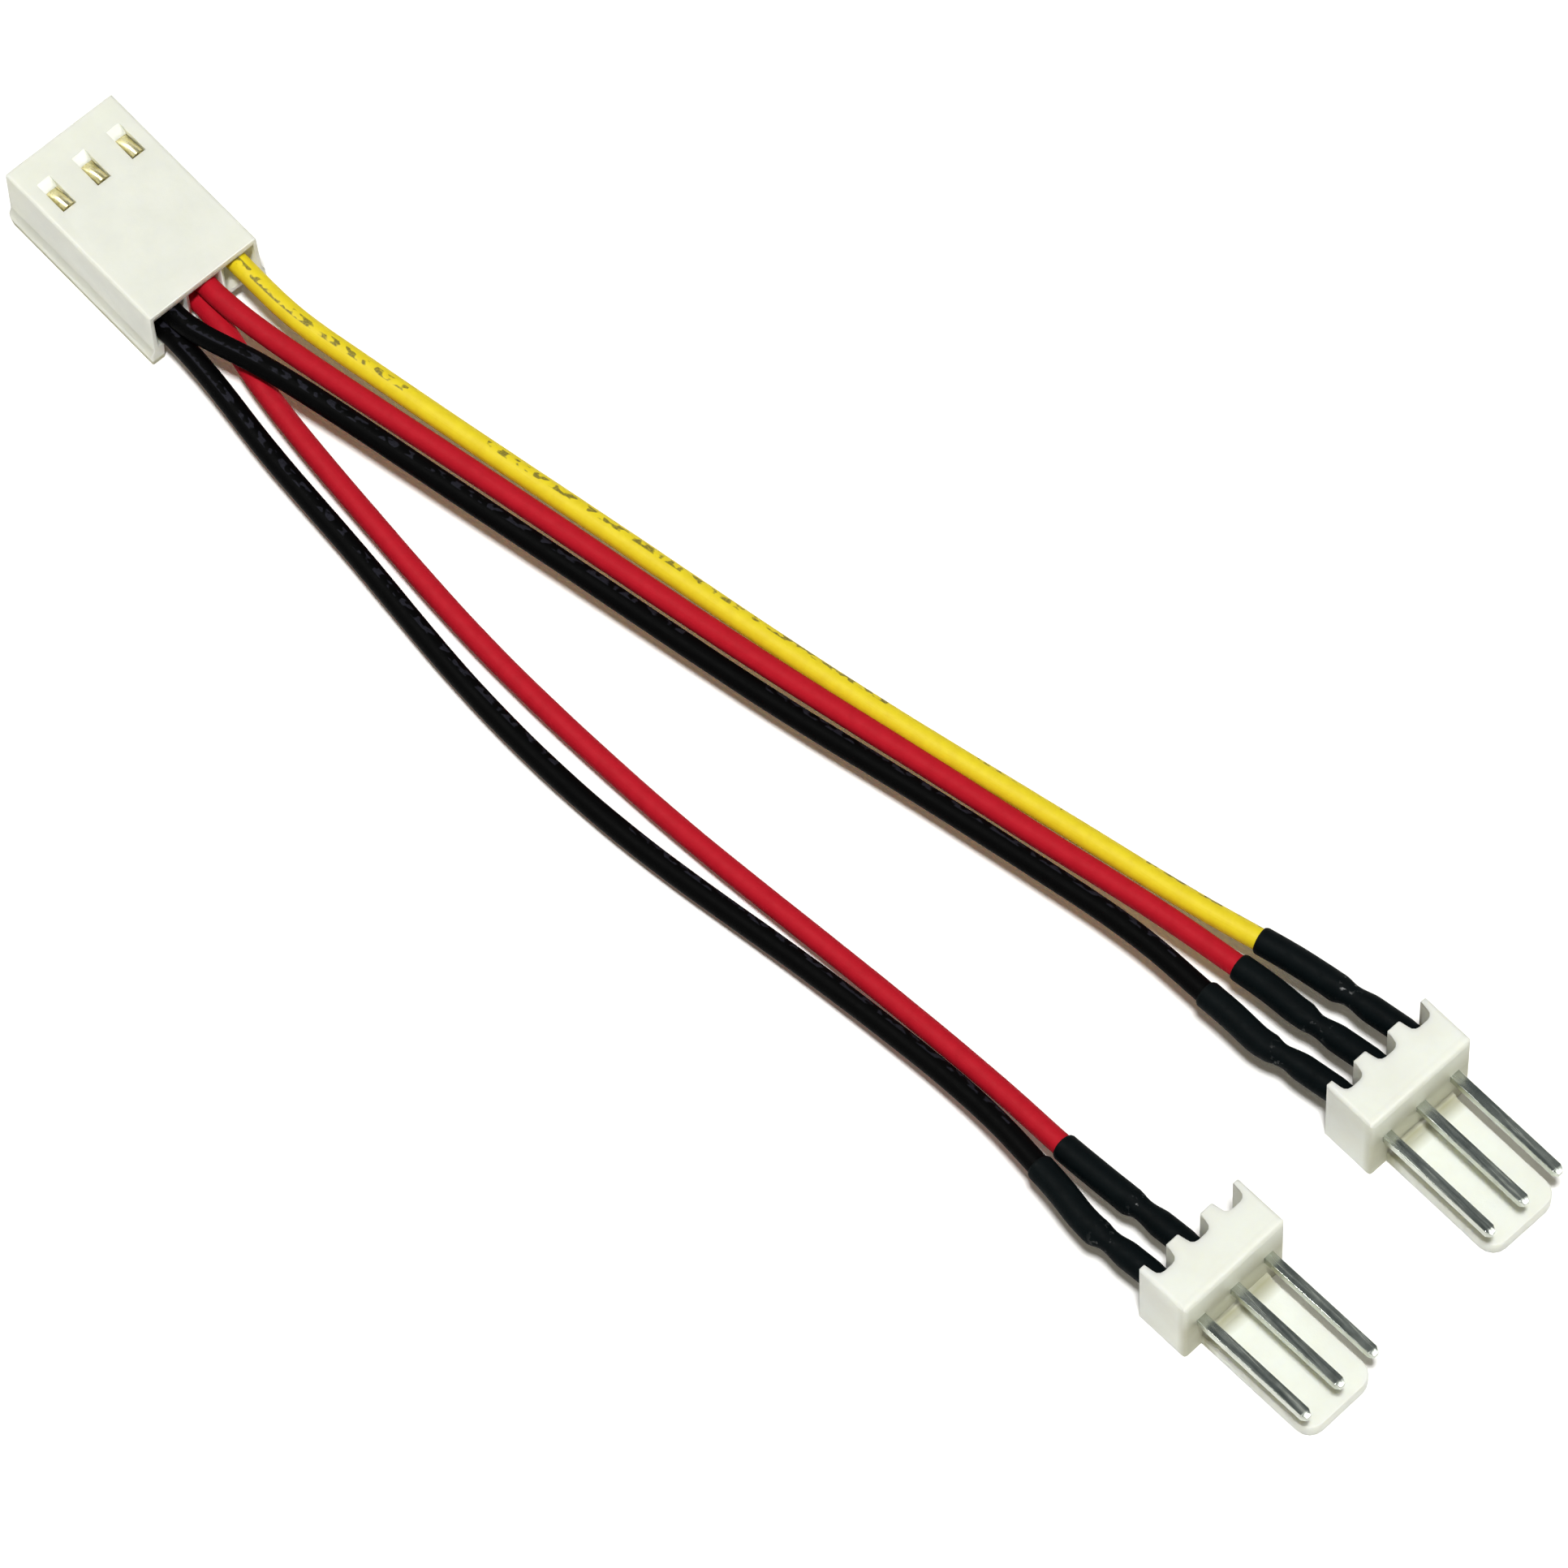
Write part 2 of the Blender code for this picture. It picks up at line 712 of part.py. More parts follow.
def main():
    removeStartupObjects()
    ivory = makeMaterial("ivory nylon", (0.84, 0.85, 0.76), 0.45)
    pale = makeMaterial("pale nylon", (0.83, 0.86, 0.79), 0.5)
    brass = makeMaterial("gold plated terminal", (0.72, 0.6, 0.32), 0.28, 1.0)
    steel = makeMaterial("tinned pin", (0.5, 0.52, 0.48), 0.25, 1.0)
    materials = {
        "black": makeMaterial("black insulation", (0.012, 0.012, 0.014), 0.4),
        "red": makeMaterial("red insulation", (0.55, 0.02, 0.03), 0.42),
        "yellow": makeMaterial("yellow insulation", (0.85, 0.63, 0.03), 0.42),
        "sleeve": makeMaterial("heat-shrink tube", (0.014, 0.02, 0.018), 0.35),
        "strand": makeMaterial("tinned strands", (0.7, 0.52, 0.38), 0.35, 1.0),
        "solder": makeMaterial("solder", (0.66, 0.66, 0.64), 0.3, 1.0),
    }
    root = makeFrame("splitter", (0.0, 0.0))
    female = makeFrame("femaleFrame", (0.0, 0.0), parent=root)
    right = makeFrame("rightFrame", rightHeaderAt, rightHeaderTurn, root)
    left = makeFrame("leftFrame", leftHeaderAt, leftHeaderTurn, root)

    connectors = [makeHousing(female, pale)]
    for colour, y in rows.items():
        paired = colour != "yellow"
        makeTerminal(colour + "_terminal", female, y, paired, brass)
    for side, frame, lean in (("right", right, rightTailLean), ("left", left, leftTailLean)):
        connectors.append(makeHeader(side, frame, ivory))
        for colour, y in rows.items():
            wired = side == "right" or colour != "yellow"
            tail = tailReach if wired else -slip
            name = side + "_" + colour + "_pin"
            connectors.append(makePin(name, frame, y, tail, lean, steel))

    rightHeader = (rightHeaderAt, rightHeaderTurn, rightTailLean, rightStripLength)
    leftHeader = (leftHeaderAt, leftHeaderTurn, leftTailLean, leftStripLength)
    upper = (firstWireHeight, firstStrandHeight)
    lower = (secondWireHeight, secondStrandHeight)
    spread = pairSpread / 2
    branches = [
        ("yellow", right, "yellow", rightHeader, 0.0, upper, yellowRoute),
        ("red_upper", right, "red", rightHeader, spread, upper, redUpperRoute),
        ("black_upper", right, "black", rightHeader, spread, upper, blackUpperRoute),
        ("red_lower", left, "red", leftHeader, -spread, lower, redLowerRoute),
        ("black_lower", left, "black", leftHeader, -spread, lower, blackLowerRoute),
    ]
    for branch in branches:
        makeBranch(*branch, female, materials)
    centreOn(root, connectors)


main()
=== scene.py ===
from math import cos, pi, radians, sin

import bmesh
import bpy
import numpy as np
from mathutils import Matrix, Vector


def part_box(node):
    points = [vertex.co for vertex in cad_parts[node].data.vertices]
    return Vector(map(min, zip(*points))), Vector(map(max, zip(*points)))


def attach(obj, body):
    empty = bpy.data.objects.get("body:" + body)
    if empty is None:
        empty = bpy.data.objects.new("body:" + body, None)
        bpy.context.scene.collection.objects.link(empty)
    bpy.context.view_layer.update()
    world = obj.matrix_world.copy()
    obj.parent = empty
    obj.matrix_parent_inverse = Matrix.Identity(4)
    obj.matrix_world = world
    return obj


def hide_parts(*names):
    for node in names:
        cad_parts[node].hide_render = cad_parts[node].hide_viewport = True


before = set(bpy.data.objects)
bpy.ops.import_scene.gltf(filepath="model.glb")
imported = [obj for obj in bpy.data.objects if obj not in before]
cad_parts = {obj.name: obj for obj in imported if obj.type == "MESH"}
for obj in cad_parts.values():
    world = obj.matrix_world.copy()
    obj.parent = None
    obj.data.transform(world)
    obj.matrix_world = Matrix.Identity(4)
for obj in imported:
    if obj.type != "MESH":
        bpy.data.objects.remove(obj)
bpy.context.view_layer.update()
print("stage: frame loaded")

# The wires leave the female housing by its rear face. Layout and routes are
# given from the middle of that face's foot.
housingLow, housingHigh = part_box("female_housing")
wireFace = np.array([housingHigh[0], (housingLow[1] + housingHigh[1]) / 2, 0.0])

# The photograph's camera: angles in degrees, focal length and picture in pixels,
# and where the housing's front lies from the middle of the picture
view = {
    "elevation": 63.47,
    "roll": 4.28,
    "turn": 52.32,
    "distance": 0.5133,
    "focal": 11500,
    "pixels": 1932,
    "sensor": 36,
    "near": 0.01,
    "far": 5,
    "frontX": -0.03817,
    "frontY": 0.04194,
}

layout = {
    "pitch": 0.00254,
    "pinHeight": 0.00337,
    "wireDiameter": 0.0013,
    "pairSpread": 0.0006,
    "wireInset": 0.0039,
    "tailReach": 0.0033,
    "solderOverStrand": 0.0008,
    "slip": 0.00002,
    "rightStripLength": 0.0018,
    "leftStripLength": 0.0012,
    "tailStraight": 0.0008,
    "rightTailLean": 9.0,
    "leftTailLean": 4.5,
    "rightHeaderAt": (0.08015, 0.0159),
    "rightHeaderTurn": 1.6,
    "leftHeaderAt": (0.08125, 0.00131),
    "leftHeaderTurn": 2.5,
    "upperWire": 0.00351,
    "lowerWire": 0.002334,
    "sleeveShortOfHeader": 0.00025,
}

# Each branch: the header it runs to, its colour, its row of pins, its place
# beside and above the other wire of that row, and the sleeve's grip on it
branches = {
    "yellow": {
        "side": "right",
        "colour": "yellow",
        "row": 1,
        "spread": 0.0,
        "height": "upperWire",
        "sleeveOverWire": 0.0049,
    },
    "red_upper": {
        "side": "right",
        "colour": "red",
        "row": 0,
        "spread": 0.5,
        "height": "upperWire",
        "sleeveOverWire": 0.0045,
    },
    "black_upper": {
        "side": "right",
        "colour": "black",
        "row": -1,
        "spread": 0.5,
        "height": "upperWire",
        "sleeveOverWire": 0.0046,
    },
    "red_lower": {
        "side": "left",
        "colour": "red",
        "row": 0,
        "spread": -0.5,
        "height": "lowerWire",
        "sleeveOverWire": 0.0047,
    },
    "black_lower": {
        "side": "left",
        "colour": "black",
        "row": -1,
        "spread": -0.5,
        "height": "lowerWire",
        "sleeveOverWire": 0.0048,
    },
}

routes = {
    "yellow": [
        (0.0043, 0.0026, 0.0035),
        (0.0087, 0.00325, 0.0035),
        (0.0172, 0.0049, 0.0033),
        (0.0255, 0.0066, 0.0031),
        (0.0338, 0.00825, 0.0029),
        (0.042, 0.0099, 0.0028),
        (0.0502, 0.01175, 0.0028),
        (0.0583, 0.01365, 0.0029),
        (0.0663, 0.0155, 0.0031),
        (0.0695, 0.01636, 0.0032),
        (0.0721, 0.017, 0.0033),
        (0.0744, 0.01748, 0.0033),
    ],
    "red_upper": [
        (0.0043, 0.0007, 0.0035),
        (0.0087, 0.0015, 0.0035),
        (0.0171, 0.0033, 0.0033),
        (0.0254, 0.005, 0.0032),
        (0.0337, 0.0067, 0.003),
        (0.0417, 0.0084, 0.003),
        (0.0499, 0.0103, 0.0029),
        (0.058, 0.01205, 0.003),
        (0.0661, 0.0138, 0.0031),
        (0.0701, 0.01446, 0.0032),
        (0.0722, 0.01476, 0.0033),
        (0.0743, 0.01498, 0.0033),
    ],
    "black_upper": [
        (0.0046, -0.00114, 0.00355),
        (0.0089, 0.0, 0.0035),
        (0.0172, 0.0018, 0.0032),
        (0.0255, 0.00353, 0.003),
        (0.0338, 0.00525, 0.0027),
        (0.0419, 0.00695, 0.0026),
        (0.0501, 0.00885, 0.0027),
        (0.0582, 0.01055, 0.0029),
        (0.0662, 0.01185, 0.0031),
        (0.07, 0.01205, 0.0032),
        (0.0722, 0.01216, 0.0033),
        (0.0743, 0.01227, 0.0033),
    ],
    "red_lower": [
        (0.0045, -0.0009, 0.00208),
        (0.0085, -0.00145, 0.00195),
        (0.0173, -0.0021, 0.0017),
        (0.026, -0.0025, 0.0015),
        (0.0347, -0.00235, 0.0014),
        (0.0433, -0.0018, 0.0014),
        (0.0517, -0.00095, 0.0016),
        (0.0601, -0.0002, 0.0021),
        (0.0685, 0.00025, 0.0028),
        (0.0715, 0.00032, 0.0031),
        (0.0738, 0.00047, 0.0033),
        (0.0759, 0.00071, 0.0033),
    ],
    "black_lower": [
        (0.0042, -0.003, 0.00215),
        (0.0086, -0.00345, 0.00195),
        (0.0174, -0.004, 0.0017),
        (0.0261, -0.00465, 0.0015),
        (0.0348, -0.00475, 0.0014),
        (0.0433, -0.004, 0.0014),
        (0.0516, -0.0027, 0.0016),
        (0.06, -0.00165, 0.0021),
        (0.0684, -0.00125, 0.0028),
        (0.0713, -0.00144, 0.0031),
        (0.0736, -0.00164, 0.0033),
        (0.0757, -0.00182, 0.0033),
    ],
}

# How finely wires are made, and the slight ripple of their insulation
wireShape = {
    "splinePoints": 1500,
    "directionStep": 0.0001,
    "leadRings": 12,
    "rings": 260,
    "sides": 28,
    "ripple": 0.006,
    "ripplePitch": 900,
    "rippleBeat": 340,
    "listedEvery": 3,
}

# Along a sleeve from the wire's end: the neck and the swelling over the solder,
# then the mouth before the groove, with rounded ends, dents and folds
sleeveShape = {
    "rings": 150,
    "sides": 32,
    "wall": 0.00013,
    "slack": 0.00003,
    "gripUntil": 0.0001,
    "neckAt": 0.0011,
    "neck": 0.00064,
    "swellAt": 0.0025,
    "swell": 0.00079,
    "swellUntil": 0.0012,
    "mouthFrom": 0.0006,
    "mouth": 0.00074,
    "startRounding": 0.00012,
    "endRounding": 0.0001,
    "thinnest": 0.55,
    "dents": 3,
    "dent": 0.045,
    "dentAt": 0.0005,
    "dentReach": 0.0008,
    "dentPitch": 3200,
    "folds": 2,
    "fold": 0.012,
    "foldPitch": 700,
    "foldNear": 2,
    "foldAway": 0.3,
    "endPoints": 30,
}

# Soft edges of the mouldings, in each one's own frame
housing = {"width": 0.0084, "height": 0.00485, "step": 0.00028, "radius": 0.00022}
header = {"width": 0.0075, "height": 0.0062, "depth": 0.0024, "front": 0.0005, "side": 0.00025}

# A locking tang: its crown, where it runs from the housing's front and how far
# below the housing's top its own top starts
tang = {
    "width": 0.00075,
    "flat": 0.00009,
    "crown": 0.0002,
    "from": 0.0022,
    "to": 0.0041,
    "below": 0.00054,
    "rootLength": 0.00045,
    "strips": (-0.75, -0.5, -0.25, 0.0, 0.25, 0.5, 0.75),
    "tolerance": 0.001,
}
pinTip = {"width": 0.00004, "segments": 3, "angle": 15}

# Steps of a rounded edge, the distance that joins two points, and in degrees
# what still counts as flat and what is shaded smooth
roundingSteps = 6
samePoint = 1e-7
flatAngle = 0.5
smoothAngles = {"tube": 60, "moulding": 50}


def addToScene(name, data):
    item = bpy.data.objects.new(name, data)
    bpy.context.scene.collection.objects.link(item)
    return item


def makeCamera():
    turn = Matrix.Rotation(radians(view["turn"]), 3, "Z")
    lift = radians(view["elevation"])
    right = turn @ Vector((1, 0, 0))
    up = turn @ Vector((0, sin(lift), cos(lift)))
    back = turn @ Vector((0, -cos(lift), sin(lift)))
    roll = radians(view["roll"])
    across = right * cos(roll) - up * sin(roll)
    above = right * sin(roll) + up * cos(roll)
    front = Vector((housingLow[0], wireFace[1], 0))
    centre = front - turn @ Vector((view["frontX"], view["frontY"], 0))
    data = bpy.data.cameras.new("camera")
    data.sensor_width = view["sensor"]
    data.lens = view["focal"] / view["pixels"] * view["sensor"]
    data.clip_start = view["near"]
    data.clip_end = view["far"]
    camera = addToScene("camera", data)
    axes = Matrix((across, above, back)).transposed()
    camera.matrix_world = Matrix.Translation(centre + back * view["distance"]) @ axes.to_4x4()
    bpy.context.scene.camera = camera


# Shader helpers: a node with its settings, and inputs that take a link or a value
def addNode(tree, kind, **settings):
    node = tree.nodes.new(kind)
    for key, value in settings.items():
        setattr(node, key, value)
    return node


def feed(tree, socket, value):
    if isinstance(value, bpy.types.NodeSocket):
        tree.links.new(value, socket)
    else:
        socket.default_value = value


def feedAll(tree, node, values):
    for name, value in values.items():
        feed(tree, node.inputs[name], value)


def newMaterial(name):
    material = bpy.data.materials.new(name)
    material.use_nodes = True
    tree = material.node_tree
    return material, tree, tree.nodes["Principled BSDF"]


def objectCoordinates(tree):
    return addNode(tree, "ShaderNodeTexCoord").outputs["Object"]


def tubeCoordinates(tree):
    return addNode(tree, "ShaderNodeUVMap", uv_map="tube").outputs["UV"]


def axesOf(tree, vector):
    split = addNode(tree, "ShaderNodeSeparateXYZ")
    feedAll(tree, split, {"Vector": vector})
    return split.outputs


def maths(tree, kind, *values):
    node = addNode(tree, "ShaderNodeMath", operation=kind)
    for socket, value in zip(node.inputs, values):
        feed(tree, socket, value)
    return node.outputs[0]


def mixed(tree, factor, first, second, blend="MIX"):
    mix = addNode(tree, "ShaderNodeMix", data_type="RGBA", blend_type=blend)
    feedAll(tree, mix, {"Factor": factor, "A": first, "B": second})
    return mix.outputs["Result"]


# A value as a share of the way from one limit to another
def shareOf(tree, value, first, last):
    node = addNode(tree, "ShaderNodeMapRange")
    feedAll(tree, node, {"Value": value, "From Min": first, "From Max": last})
    return node.outputs["Result"]


def noiseAt(tree, coordinates, scale, detail, roughness=0.55, stretch=None):
    if stretch:
        mapping = addNode(tree, "ShaderNodeMapping")
        feedAll(tree, mapping, {"Vector": coordinates, "Scale": stretch})
        coordinates = mapping.outputs["Vector"]
    noise = addNode(tree, "ShaderNodeTexNoise")
    values = {"Vector": coordinates, "Scale": scale, "Detail": detail, "Roughness": roughness}
    feedAll(tree, noise, values)
    return noise.outputs["Fac"]


def ramp(tree, value, stops):
    node = addNode(tree, "ShaderNodeValToRGB")
    elements = node.color_ramp.elements
    while len(elements) < len(stops):
        elements.new(0.5)
    for element, (place, colour) in zip(elements, stops):
        element.position = place
        element.color = (*colour, 1.0)
    feedAll(tree, node, {"Fac": value})
    return node.outputs["Color"]


def greyRamp(tree, value, stops):
    return ramp(tree, value, [(place, (level, level, level)) for place, level in stops])


# Painted shade: a tint multiplied into the colour where ramps over a piece's own
# coordinates say so. The shade gives the piece's place and its turn about Z.
def paintedShadeAlong(tree, colour, shade):
    mapping = addNode(tree, "ShaderNodeMapping", vector_type="TEXTURE")
    values = {
        "Vector": objectCoordinates(tree),
        "Location": shade["place"],
        "Rotation": (0.0, 0.0, radians(shade["turn"])),
    }
    feedAll(tree, mapping, values)
    axes = axesOf(tree, mapping.outputs["Vector"])
    amount = None
    for axis, first, last, stops in shade["ramps"]:
        part = greyRamp(tree, shareOf(tree, axes[axis], first, last), stops)
        amount = maths(tree, "MULTIPLY", amount, part) if amount else part
    return mixed(tree, amount, colour, (*shade["tint"], 1.0), "MULTIPLY")


# How each kind of surface varies. Noise is given by scale, detail, roughness and
# stretch: behind the colour, which runs from dark to light between two stops, and
# behind the roughness, which strays below and above its mean. A bump is its
# coordinates, its noise and its depth.
looks = {
    "nylon": {
        "mottle": (420, 4.0),
        "stops": (0.35, 0.62),
        "rub": (900, 3.0),
        "stray": (0.06, 0.08),
        "bumps": [("place", (9000, 2.0), 0.000004), ("place", (700, 2.0), 0.00003)],
        "glow": 0.5,
        "glowRadius": (1.0, 0.95, 0.75),
        "glowScale": 0.0009,
        "refraction": 1.5,
    },
    "metal": {
        "mottle": (1600, 4.0),
        "stops": (0.35, 0.6),
        "rub": (5200, 3.0, 0.6),
        "stray": (0.08, 0.1),
    },
    "insulation": {
        "mottle": (1500, 4.0),
        "stops": (0.3, 0.65),
        "rub": (2600, 3.0),
        "stray": (0.05, 0.08),
        "bumps": [
            ("tube", (60, 2.0, 0.5, (6.0, 1.0, 1.0)), 0.000008),
            ("place", (9000, 2.0), 0.000003),
        ],
    },
    "sleeve": {
        "mottle": (1300, 4.0),
        "stops": (0.35, 0.65),
        "rub": (2400, 4.0),
        "stray": (0.08, 0.1),
        "bumps": [
            ("tube", (3.2, 2.0, 0.5, (500.0, 0.6, 1.0)), 0.000012),
            ("place", (8000, 3.0), 0.000006),
        ],
    },
}

strayStops = (0.3, 0.7)

# Polished spots on a sleeve, near its neck only
polish = {
    "from": 0.0048,
    "to": 0.0066,
    "near": [(0.0, 0.0), (0.4, 1.0), (0.6, 1.0), (1.0, 0.0)],
    "spots": (2600, 2.0),
    "spotStops": [(0.6, 0.0), (0.66, 1.0)],
    "roughness": 0.3,
    "gloss": 0.3,
    "glossElsewhere": 0.04,
}

# Worn print on a wire. Places round it are shares of a turn.
marks = {
    "blots": (1.0, 1.0, 0.5),
    "alongScale": 1500,
    "aroundScale": 9,
    "cut": 0.5,
    "cutWidth": 0.06,
    "group": 0.0056,
    "share": 0.5,
    "around": 0.21,
    "twist": 3.3,
    "aroundLast": 0.4,
    "halfBand": 0.055,
    "fadeFrom": 0.75,
    "wear": (9000, 2.0),
    "wearStops": (0.3, 0.55),
    "worn": 0.6,
}


def mottled(tree, place, look, light, dark):
    first, last = look["stops"]
    return ramp(tree, noiseAt(tree, place, *look["mottle"]), [(first, dark), (last, light)])


def strayed(tree, rub, look, roughness):
    less, more = look["stray"]
    first, last = strayStops
    return greyRamp(tree, rub, [(first, roughness - less), (last, roughness + more)])


def heightsOf(tree, look, coordinates):
    return [
        (noiseAt(tree, coordinates[kind], *noise), depth)
        for kind, noise, depth in look["bumps"]
    ]


# Bumps laid over each other, each a height and its depth
def bumpFrom(tree, shader, heights):
    normal = None
    for height, depth in heights:
        bump = addNode(tree, "ShaderNodeBump")
        feedAll(tree, bump, {"Height": height, "Distance": depth, "Strength": 1.0})
        if normal:
            feedAll(tree, bump, {"Normal": normal})
        normal = bump.outputs["Normal"]
    feedAll(tree, shader, {"Normal": normal})


# Moulded nylon: cloudy colour with painted shade, fine grain, a slight glow under the surface
def nylonMaterial(name, light, dark, roughness, gloss, shade):
    material, tree, shader = newMaterial(name)
    look = looks["nylon"]
    place = objectCoordinates(tree)
    colour = mottled(tree, place, look, light, dark)
    rub = noiseAt(tree, place, *look["rub"])
    values = {
        "Base Color": paintedShadeAlong(tree, colour, shade),
        "Roughness": strayed(tree, rub, look, roughness),
        "Subsurface Weight": look["glow"],
        "Subsurface Radius": look["glowRadius"],
        "Subsurface Scale": look["glowScale"],
        "IOR": look["refraction"],
        "Specular IOR Level": gloss,
    }
    feedAll(tree, shader, values)
    bumpFrom(tree, shader, heightsOf(tree, look, {"place": place}))
    return material


# Drawn and plated metal: fine lines along the piece and darker spots
def metalMaterial(name, light, dark, roughness, stretch, metallic=1.0, relief=0.000001):
    material, tree, shader = newMaterial(name)
    look = looks["metal"]
    place = objectCoordinates(tree)
    lines = noiseAt(tree, place, *look["rub"], stretch)
    values = {
        "Base Color": mottled(tree, place, look, light, dark),
        "Roughness": strayed(tree, lines, look, roughness),
        "Metallic": metallic,
    }
    feedAll(tree, shader, values)
    bumpFrom(tree, shader, [(lines, relief)])
    return material


# Worn print along a wire: blots in a narrow band that turns slowly round it,
# with whole groups left blank
def printMarks(tree, uv, marks):
    axes = axesOf(tree, uv)
    along, around = axes["X"], axes["Y"]
    stretch = (marks["alongScale"], marks["aroundScale"], 1.0)
    blots = noiseAt(tree, uv, *marks["blots"], stretch)
    cut = marks["cut"]
    shape = greyRamp(tree, blots, [(cut, 0.0), (cut + marks["cutWidth"], 1.0)])
    turned = maths(tree, "ADD", maths(tree, "MULTIPLY", along, marks["twist"]), marks["around"])
    middle = maths(tree, "MINIMUM", turned, marks["aroundLast"])
    offset = maths(tree, "ABSOLUTE", maths(tree, "SUBTRACT", around, middle))
    share = maths(tree, "DIVIDE", offset, marks["halfBand"])
    band = greyRamp(tree, share, [(marks["fadeFrom"], 1.0), (1.0, 0.0)])
    group = maths(tree, "FLOOR", maths(tree, "DIVIDE", along, marks["group"]))
    noise = addNode(tree, "ShaderNodeTexWhiteNoise", noise_dimensions="1D")
    feedAll(tree, noise, {"W": maths(tree, "ADD", group, marks["seed"])})
    kept = maths(tree, "GREATER_THAN", noise.outputs["Value"], 1 - marks["share"])
    return maths(tree, "MULTIPLY", maths(tree, "MULTIPLY", shape, band), kept)


# Insulation: drawn lines along the wire, a soft mottle and its print marks
def insulationMaterial(name, light, dark, roughness, ink, marks):
    material, tree, shader = newMaterial(name)
    look = looks["insulation"]
    place = objectCoordinates(tree)
    uv = tubeCoordinates(tree)
    first, last = marks["wearStops"]
    wear = noiseAt(tree, place, *marks["wear"])
    worn = greyRamp(tree, wear, [(first, marks["ink"] * marks["worn"]), (last, marks["ink"])])
    amount = maths(tree, "MULTIPLY", printMarks(tree, uv, marks), worn)
    colour = mottled(tree, place, look, light, dark)
    rub = noiseAt(tree, place, *look["rub"])
    values = {
        "Base Color": mixed(tree, amount, colour, (*ink, 1.0)),
        "Roughness": strayed(tree, rub, look, roughness),
        "Specular IOR Level": marks["gloss"],
    }
    feedAll(tree, shader, values)
    bumpFrom(tree, shader, heightsOf(tree, look, {"place": place, "tube": uv}))
    return material


# Heat-shrink tube: matt, with faint rings where it shrank unevenly
def sleeveMaterial(name, light, dark, roughness):
    material, tree, shader = newMaterial(name)
    look = looks["sleeve"]
    place = objectCoordinates(tree)
    uv = tubeCoordinates(tree)
    rough = strayed(tree, noiseAt(tree, place, *look["rub"]), look, roughness)
    along = shareOf(tree, axesOf(tree, uv)["X"], polish["from"], polish["to"])
    near = greyRamp(tree, along, polish["near"])
    spots = greyRamp(tree, noiseAt(tree, place, *polish["spots"]), polish["spotStops"])
    polished = maths(tree, "MULTIPLY", near, spots)
    drop = maths(tree, "MULTIPLY", polished, polish["roughness"])
    gloss, elsewhere = polish["gloss"], polish["glossElsewhere"]
    values = {
        "Base Color": mottled(tree, place, look, light, dark),
        "Roughness": maths(tree, "SUBTRACT", rough, drop),
        "Specular IOR Level": maths(tree, "MULTIPLY_ADD", polished, gloss, elsewhere),
    }
    feedAll(tree, shader, values)
    bumpFrom(tree, shader, heightsOf(tree, look, {"place": place, "tube": uv}))
    return material


# Painted shade on the mouldings: browner round the pins' roots on a header, for the
# block's shade and the pins' reflection, and a painted shadow along the housing's foot
headerPaintedShade = {
    "ramps": [
        ("X", 0.0018, 0.0036, [(0.0, 0.0), (0.3, 0.75), (0.5, 1.0), (1.0, 0.0)]),
        ("Z", 0.0, 0.0062, [(0.55, 1.0), (0.95, 0.25)]),
    ],
    "tint": (0.47, 0.45, 0.33),
}
# Painted shadow: the female housing darker along its lowest millimetre
housingPaintedShade = {
    "place": (0.0, 0.0, 0.0),
    "turn": 0.0,
    "ramps": [("Z", 0.0, 0.001, [(0.25, 1.0), (0.45, 0.0)])],
    "tint": (0.5, 0.48, 0.34),
}
ivory = ((0.845, 0.88, 0.82), (0.82, 0.845, 0.775), 0.48, 0.25)


def headerFinish(side):
    place = Vector(wireFace) + Vector((*layout[side + "HeaderAt"], 0.0))
    shade = {**headerPaintedShade, "place": place, "turn": layout[side + "HeaderTurn"]}
    return nylonMaterial(side + "Ivory", *ivory, shade)


# The finish of each slot, and of the two headers by their nodes
finishes = {
    "pale_nylon": nylonMaterial(
        "paleNylon", (0.82, 0.845, 0.76), (0.785, 0.81, 0.73), 0.5, 0.5, housingPaintedShade
    ),
    "right_header": headerFinish("right"),
    "left_header": headerFinish("left"),
    "terminal_metal": metalMaterial(
        "terminalMetal", (0.86, 0.79, 0.48), (0.6, 0.54, 0.28), 0.28, (0.15, 1.0, 1.0), 0.88
    ),
    "pin_metal": metalMaterial(
        "pinMetal",
        (0.54, 0.57, 0.51),
        (0.43, 0.455, 0.4),
        0.2,
        (0.06, 1.0, 1.0),
        relief=0.0000004,
    ),
    "strand_metal": metalMaterial(
        "strandMetal", (0.8, 0.6, 0.46), (0.6, 0.4, 0.3), 0.35, (0.2, 1.0, 1.0)
    ),
    "solder": metalMaterial("solderMetal", (0.7, 0.7, 0.68), (0.5, 0.5, 0.5), 0.3, (1, 1, 1)),
    "black_insulation": insulationMaterial(
        "blackInsulation",
        (0.0009, 0.001, 0.0011),
        (0.0006, 0.0006, 0.0007),
        0.55,
        (0.035, 0.035, 0.05),
        {**marks, "ink": 0.5, "seed": 5.0, "share": 0.7, "aroundLast": 0.34, "gloss": 0.025},
    ),
    "red_insulation": insulationMaterial(
        "redInsulation",
        (0.51, 0.008, 0.021),
        (0.46, 0.006, 0.017),
        0.6,
        (0.3, 0.01, 0.02),
        {**marks, "ink": 0.12, "seed": 2.0, "share": 0.3, "gloss": 0.07},
    ),
    "yellow_insulation": insulationMaterial(
        "yellowInsulation",
        (0.85, 0.69, 0.014),
        (0.79, 0.62, 0.011),
        0.55,
        (0.1, 0.085, 0.02),
        {**marks, "ink": 0.85, "seed": 9.0, "share": 0.75, "gloss": 0.2},
    ),
    "shrink_tube": sleeveMaterial(
        "shrinkTube", (0.0012, 0.0034, 0.0042), (0.0008, 0.0024, 0.003), 0.6
    ),
}


